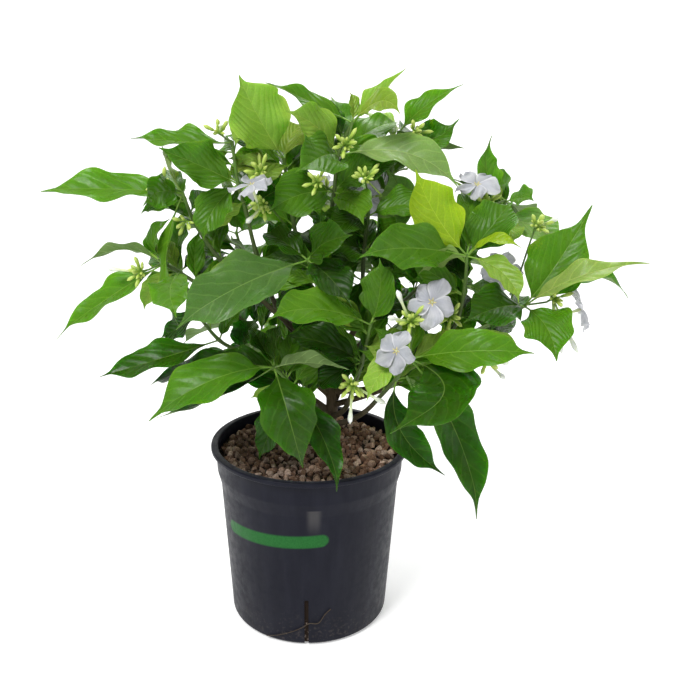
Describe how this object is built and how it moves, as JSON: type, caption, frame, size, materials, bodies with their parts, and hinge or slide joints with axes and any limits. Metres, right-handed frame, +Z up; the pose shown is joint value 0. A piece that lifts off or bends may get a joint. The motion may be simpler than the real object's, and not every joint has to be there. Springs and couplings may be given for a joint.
{
  "type": "potted pinwheel jasmine",
  "caption": "Bushy pinwheel jasmine shrub with glossy wavy leaves, yellow-green bud clusters and white pinwheel blooms, growing in a round black nursery pot.",
  "frame": {"origin": "centre of the pot's flat underside, on the surface that it stands on", "axes": "+Z up the plant, -Y towards the front that the picture shows, +X to the right of that view"},
  "size_m": [0.5483, 0.3445, 0.5482],
  "materials": {
    "pot_plastic": "satin",
    "granules": "rough and porous",
    "root": "matte",
    "bark": "rough",
    "leaf": "semi-gloss",
    "bud": "satin",
    "petal": "soft matte"
  },
  "bodies": {
    "root": {"bloom_back_high": "petal", "bloom_back_left": "petal", "bloom_back_right": "petal", "bloom_centre_back": "petal", "bloom_far_right": "petal", "bloom_front": "petal", "bloom_front_right": "petal", "bloom_left": "petal", "bloom_right_high": "petal", "bloom_right_mid": "petal", "buds_back_centre": "bud", "buds_back_left": "bud", "buds_back_right": "bud", "buds_centre": "bud", "buds_centre_right": "bud", "buds_far_right": "bud", "buds_front_low": "bud", "buds_front_right": "bud", "buds_left_high": "bud", "buds_left_low": "bud", "buds_left_stem": "bud", "buds_left_tip": "bud", "buds_left_upper": "bud", "buds_right_bloom": "bud", "buds_right_high": "bud", "buds_right_low": "bud", "buds_right_mid": "bud", "buds_right_under": "bud", "buds_right_upper": "bud", "buds_top": "bud", "buds_upper_left": "bud", "escaped_root": "root", "growing_medium": "granules", "pot": "pot_plastic", "shoot_back_centre": "leaf", "shoot_back_left": "leaf", "shoot_back_low_left": "leaf", "shoot_back_low_right": "leaf", "shoot_back_right": "leaf", "shoot_centre": "leaf", "shoot_far_right": "leaf", "shoot_front_centre": "leaf", "shoot_front_left": "leaf", "shoot_front_right": "leaf", "shoot_left": "leaf", "shoot_left_centre": "leaf", "shoot_left_inner": "leaf", "shoot_lower_left": "leaf", "shoot_mid_left": "leaf", "shoot_right": "leaf", "shoot_right_back": "leaf", "shoot_right_top": "leaf", "shoot_top_centre": "leaf", "shoot_upper_left": "leaf", "woody_frame": "bark"}
  },
  "joints": []
}
